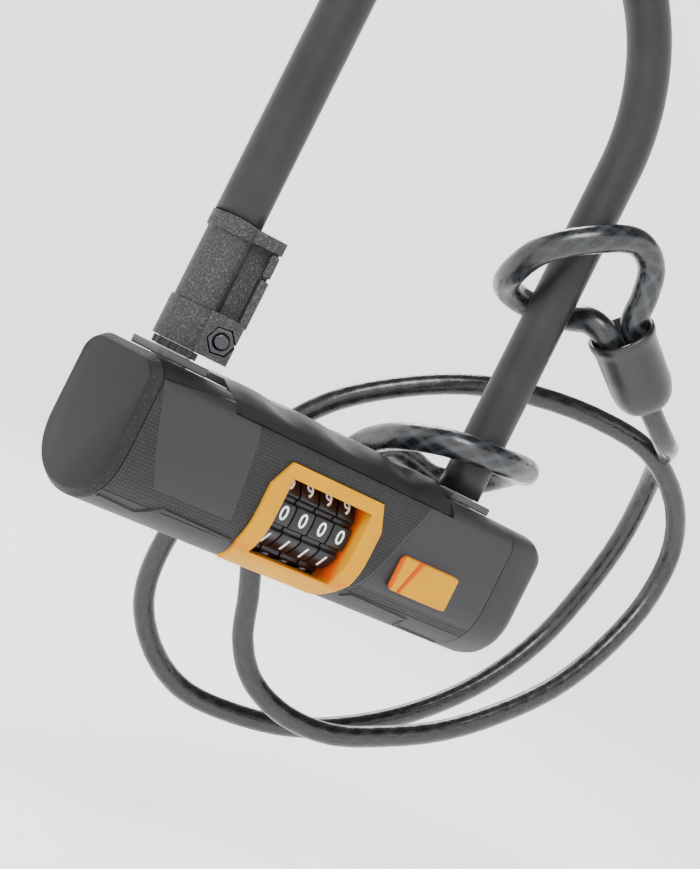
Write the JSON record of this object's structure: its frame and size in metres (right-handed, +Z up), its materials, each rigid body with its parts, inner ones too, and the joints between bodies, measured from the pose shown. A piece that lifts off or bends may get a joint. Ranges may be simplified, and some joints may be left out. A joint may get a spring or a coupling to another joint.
{
  "type": "bicycle u-lock with cable",
  "caption": "Bicycle U-lock: coated steel shackle, combination crossbar with orange dial frame and slider, frame bracket on one leg, looped braided cable on the other.",
  "frame": {"origin": "midway between the two leg axes, level with the top of the crossbar, in the mouth of the space the shackle encloses", "axes": "+X along the crossbar from the bracket leg to the cable leg, +Z up the legs towards the bend, the dials face -Y"},
  "size_m": [0.2967, 0.1239, 0.3301],
  "materials": {
    "steel": "satin, bare steel of the core, bolts, nut, spindle and screws",
    "sleeve_vinyl": "satin dark grey vinyl",
    "bracket_plastic": "fine grain, matt black",
    "shell_plastic": "matt black with fine dotted areas",
    "seal_rubber": "matt black rubber",
    "frame_orange": "satin yellow-orange plastic",
    "dial_black": "satin black with white numbers",
    "zinc": "dull grey die casting",
    "cable_vinyl": "clear smoke vinyl over braided steel"
  },
  "bodies": {
    "shackle": {"shackle_core": "steel", "shackle_sleeve": "sleeve_vinyl", "leg_ring": "seal_rubber", "bracket_sleeve": "bracket_plastic", "bracket_nut": "steel", "bracket_bolt": "steel", "cable": "cable_vinyl", "cable_loop_a": "cable_vinyl", "cable_loop_b": "cable_vinyl", "ferrule_a": "sleeve_vinyl", "ferrule_b": "sleeve_vinyl"},
    "latch": {"bracket_latch": "bracket_plastic"},
    "crossbar": {"front_cover": "shell_plastic", "rear_shell": "shell_plastic", "saddle": "seal_rubber", "collar_left": "seal_rubber", "collar_right": "seal_rubber", "end_cap_left": "shell_plastic", "end_cap_right": "shell_plastic", "dial_frame": "frame_orange", "dial_chassis": "zinc", "detent_comb": "steel", "lock_block_left": "zinc", "lock_block_right": "zinc", "pinion_pin": "steel", "rear_screw_left": "steel", "rear_screw_right": "steel"},
    "slider": {"release_button": "frame_orange", "slider_link": "zinc", "spindle": "steel", "lock_bolt_right": "steel"},
    "bolt_left": {"lock_bolt_left": "steel"},
    "pinion": {"reversing_pinion": "zinc"},
    "wheel_1": {"dial_1": "dial_black", "clutch_1": "zinc"},
    "wheel_2": {"dial_2": "dial_black", "clutch_2": "zinc"},
    "wheel_3": {"dial_3": "dial_black", "clutch_3": "zinc"},
    "wheel_4": {"dial_4": "dial_black", "clutch_4": "zinc"}
  },
  "joints": [
    {"name": "crossbar_release", "type": "slide", "parent": "shackle", "child": "crossbar", "axis": [0, 0, -1], "range_m": [0, 0.045]},
    {"name": "slider_throw", "type": "slide", "parent": "crossbar", "child": "slider", "axis": [1, 0, 0], "range_m": [0, 0.004]},
    {"name": "bolt_left_throw", "type": "slide", "parent": "crossbar", "child": "bolt_left", "axis": [-1, 0, 0], "range_m": [0, 0.004]},
    {"name": "pinion_turn", "type": "hinge", "parent": "crossbar", "child": "pinion", "pos_m": [0.034, 0.0163, -0.026], "axis": [0, 1, 0], "range_deg": [-45.9, 0]},
    {"name": "latch_press", "type": "slide", "parent": "shackle", "child": "latch", "axis": [0.4226, 0.9063, 0], "range_m": [0, 0.0015]},
    {"name": "dial_1_turn", "type": "hinge", "parent": "crossbar", "child": "wheel_1", "pos_m": [-0.0162, -0.0029, -0.0345], "axis": [1, 0, 0], "continuous": true},
    {"name": "dial_2_turn", "type": "hinge", "parent": "crossbar", "child": "wheel_2", "pos_m": [-0.0074, -0.0029, -0.0345], "axis": [1, 0, 0], "continuous": true},
    {"name": "dial_3_turn", "type": "hinge", "parent": "crossbar", "child": "wheel_3", "pos_m": [0.0014, -0.0029, -0.0345], "axis": [1, 0, 0], "continuous": true},
    {"name": "dial_4_turn", "type": "hinge", "parent": "crossbar", "child": "wheel_4", "pos_m": [0.0102, -0.0029, -0.0345], "axis": [1, 0, 0], "continuous": true}
  ],
  "couplings": [
    {"joint": "bolt_left_throw", "follows": "slider_throw", "ratio": 1},
    {"joint": "pinion_turn", "follows": "slider_throw", "rad_per_m": -200}
  ]
}
